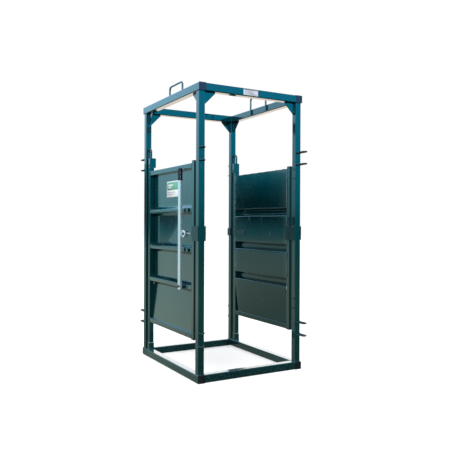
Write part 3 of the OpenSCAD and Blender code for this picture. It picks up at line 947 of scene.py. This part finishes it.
# Surroundings that the gloss paint mirrors, by the sine of the elevation
FRONT_VIEW = (
    (-1.00, (0.00, 0.03, 0.03)), (-0.24, (0.00, 0.05, 0.05)), (-0.14, (0.08, 0.38, 0.34)),
    (-0.05, (0.02, 0.24, 0.22)), (0.00, (0.00, 0.40, 0.50)), (0.04, (0.00, 0.80, 1.10)),
    (0.10, (0.00, 1.00, 1.60)), (0.23, (0.02, 1.50, 2.55)), (0.30, (0.25, 0.65, 0.90)),
    (1.00, (0.40, 0.65, 0.85)),
)
LEFT_VIEW = (
    (-1.00, (0.06, 0.07, 0.06)), (-0.24, (0.20, 0.28, 0.25)), (-0.14, (0.56, 0.72, 0.60)),
    (-0.05, (0.44, 0.72, 0.70)), (0.00, (0.28, 0.66, 0.74)), (0.07, (0.42, 0.92, 1.06)),
    (0.24, (0.75, 1.45, 1.95)), (1.00, (0.35, 0.75, 1.40)),
)
FAR_VIEW = (
    (-1.00, (0.40, 0.36, 0.30)), (-0.25, (1.40, 1.25, 1.06)), (-0.10, (1.00, 0.95, 0.85)),
    (0.05, (1.20, 1.30, 1.30)), (0.25, (2.05, 2.05, 1.98)), (0.36, (0.90, 1.20, 1.80)),
    (1.00, (0.40, 0.80, 1.50)),
)


# Neutral fill, from the nadir at 0 to the zenith at 1
FILL = [(0, (0.20, 0.20, 0.20)), (0.42, (0.55, 0.55, 0.55)), (0.75, (1.25, 1.26, 1.27))]
# The dark cards, by height as a share of CARD_TOP
CARD_TOP = 2.0
CARDS = [
    (0.00, (0.18, 0.28, 0.24)), (0.30, (0.28, 0.43, 0.38)), (0.45, (0.22, 0.40, 0.39)),
    (0.54, (0.04, 0.22, 0.26)), (0.62, (0.00, 0.00, 0.01)), (0.72, (0.00, 0.00, 0.01)),
    (0.80, (0.00, 0.11, 0.17)), (0.88, (0.00, 0.40, 0.54)),
]


def add_world():
    """Plain white backdrop, soft neutral fill, and a sky over dark ground for the gloss to mirror."""
    world = bpy.data.worlds.new("studio")
    bpy.context.scene.world = world
    world.use_nodes = True
    tree = world.node_tree
    out = tree.nodes["World Output"]
    way = add_node(tree, "ShaderNodeTexCoord").outputs["Generated"]
    rise = add_node(tree, "ShaderNodeSeparateXYZ", {0: way}).outputs["Z"]
    level = spread(tree, rise, -1, 1)
    front = colour_ramp(tree, level, [((z + 1) / 2, c) for z, c in FRONT_VIEW])
    left = colour_ramp(tree, level, [((z + 1) / 2, c) for z, c in LEFT_VIEW])
    far = colour_ramp(tree, level, [((z + 1) / 2, c) for z, c in FAR_VIEW])
    away = add_node(tree, "ShaderNodeVectorMath", {0: way, 1: (-0.49, 0.87, 0)}, operation="DOT_PRODUCT")
    mirrored = mix(tree, spread(tree, away.outputs["Value"], -0.45, 0.45), front, left)
    beyond = add_node(tree, "ShaderNodeVectorMath", {0: way, 1: (0.49, 0.87, 0)}, operation="DOT_PRODUCT")
    mirrored = mix(tree, spread(tree, beyond.outputs["Value"], 0.66, 0.90), mirrored, far)
    fill = colour_ramp(tree, level, FILL)
    rays = add_node(tree, "ShaderNodeLightPath")
    lit = mix(tree, rays.outputs["Is Glossy Ray"], fill, mirrored)
    seen = mix(tree, rays.outputs["Is Camera Ray"], lit, (1.0, 1.0, 1.0))
    glow = add_node(tree, "ShaderNodeBackground", {"Color": seen, "Strength": 1.0})
    tree.links.new(glow.outputs[0], out.inputs["Surface"])


def add_flag():
    """Dark cards behind the cage, seen only in gloss: the doors' sheets mirror them."""
    bm = bmesh.new()
    behind = 1.3
    right_door = [(-0.82, -0.6), (-0.10, -0.6), (-0.10, 1.78), (-0.82, 1.78)]
    left_door = [(-0.92, 0.95), (-0.84, 0.95), (-0.84, 1.25), (-1.12, 1.25)]
    for corners in (right_door, left_door):
        bm.faces.new([bm.verts.new((x, behind, z)) for x, z in corners])
    mesh = bpy.data.meshes.new("flag")
    bm.to_mesh(mesh)
    bm.free()
    material, tree, shader, coords = new_material("flag")
    shader.inputs["Base Color"].default_value = (0, 0, 0, 1)
    shader.inputs["Specular IOR Level"].default_value = 0.0
    height = spread(tree, height_of(tree, coords), 0.0, CARD_TOP)
    tree.links.new(colour_ramp(tree, height, CARDS), shader.inputs["Emission Color"])
    shader.inputs["Emission Strength"].default_value = 1.0
    mesh.materials.append(material)
    flag = bpy.data.objects.new("flag", mesh)
    flag.visible_camera = False
    flag.visible_diffuse = False
    flag.visible_shadow = False
    bpy.context.scene.collection.objects.link(flag)


def add_light(name, at, size, power, tint):
    data = bpy.data.lights.new(name, "AREA")
    data.shape = "RECTANGLE"
    data.size, data.size_y = size
    data.energy = power
    data.color = tint
    light = bpy.data.objects.new(name, data)
    light.location = at
    aim = Vector((0, 0, 1.1)) - Vector(at)
    light.rotation_euler = aim.to_track_quat("-Z", "Y").to_euler()
    bpy.context.scene.collection.objects.link(light)


def add_studio():
    add_floor()
    add_world()
    add_flag()
    add_light("key", (-4.5, -2.5, 5.0), (3.5, 3.5), 170, (1.0, 0.99, 0.97))
    add_light("top", (0.5, -0.5, 6.0), (5.0, 5.0), 110, (0.97, 0.99, 1.0))
    bpy.context.scene.view_settings.view_transform = "Standard"


# ---------- build ----------

add_camera()
add_studio()
dress_cad_nodes()
frame_welds()
for door_side in SIDES:
    door_sheet(door_side)
    door_welds(door_side)
    lever_grip(door_side)
    stop_disc(door_side)
    lever_pivot(door_side)
door_label()
maker_plate()
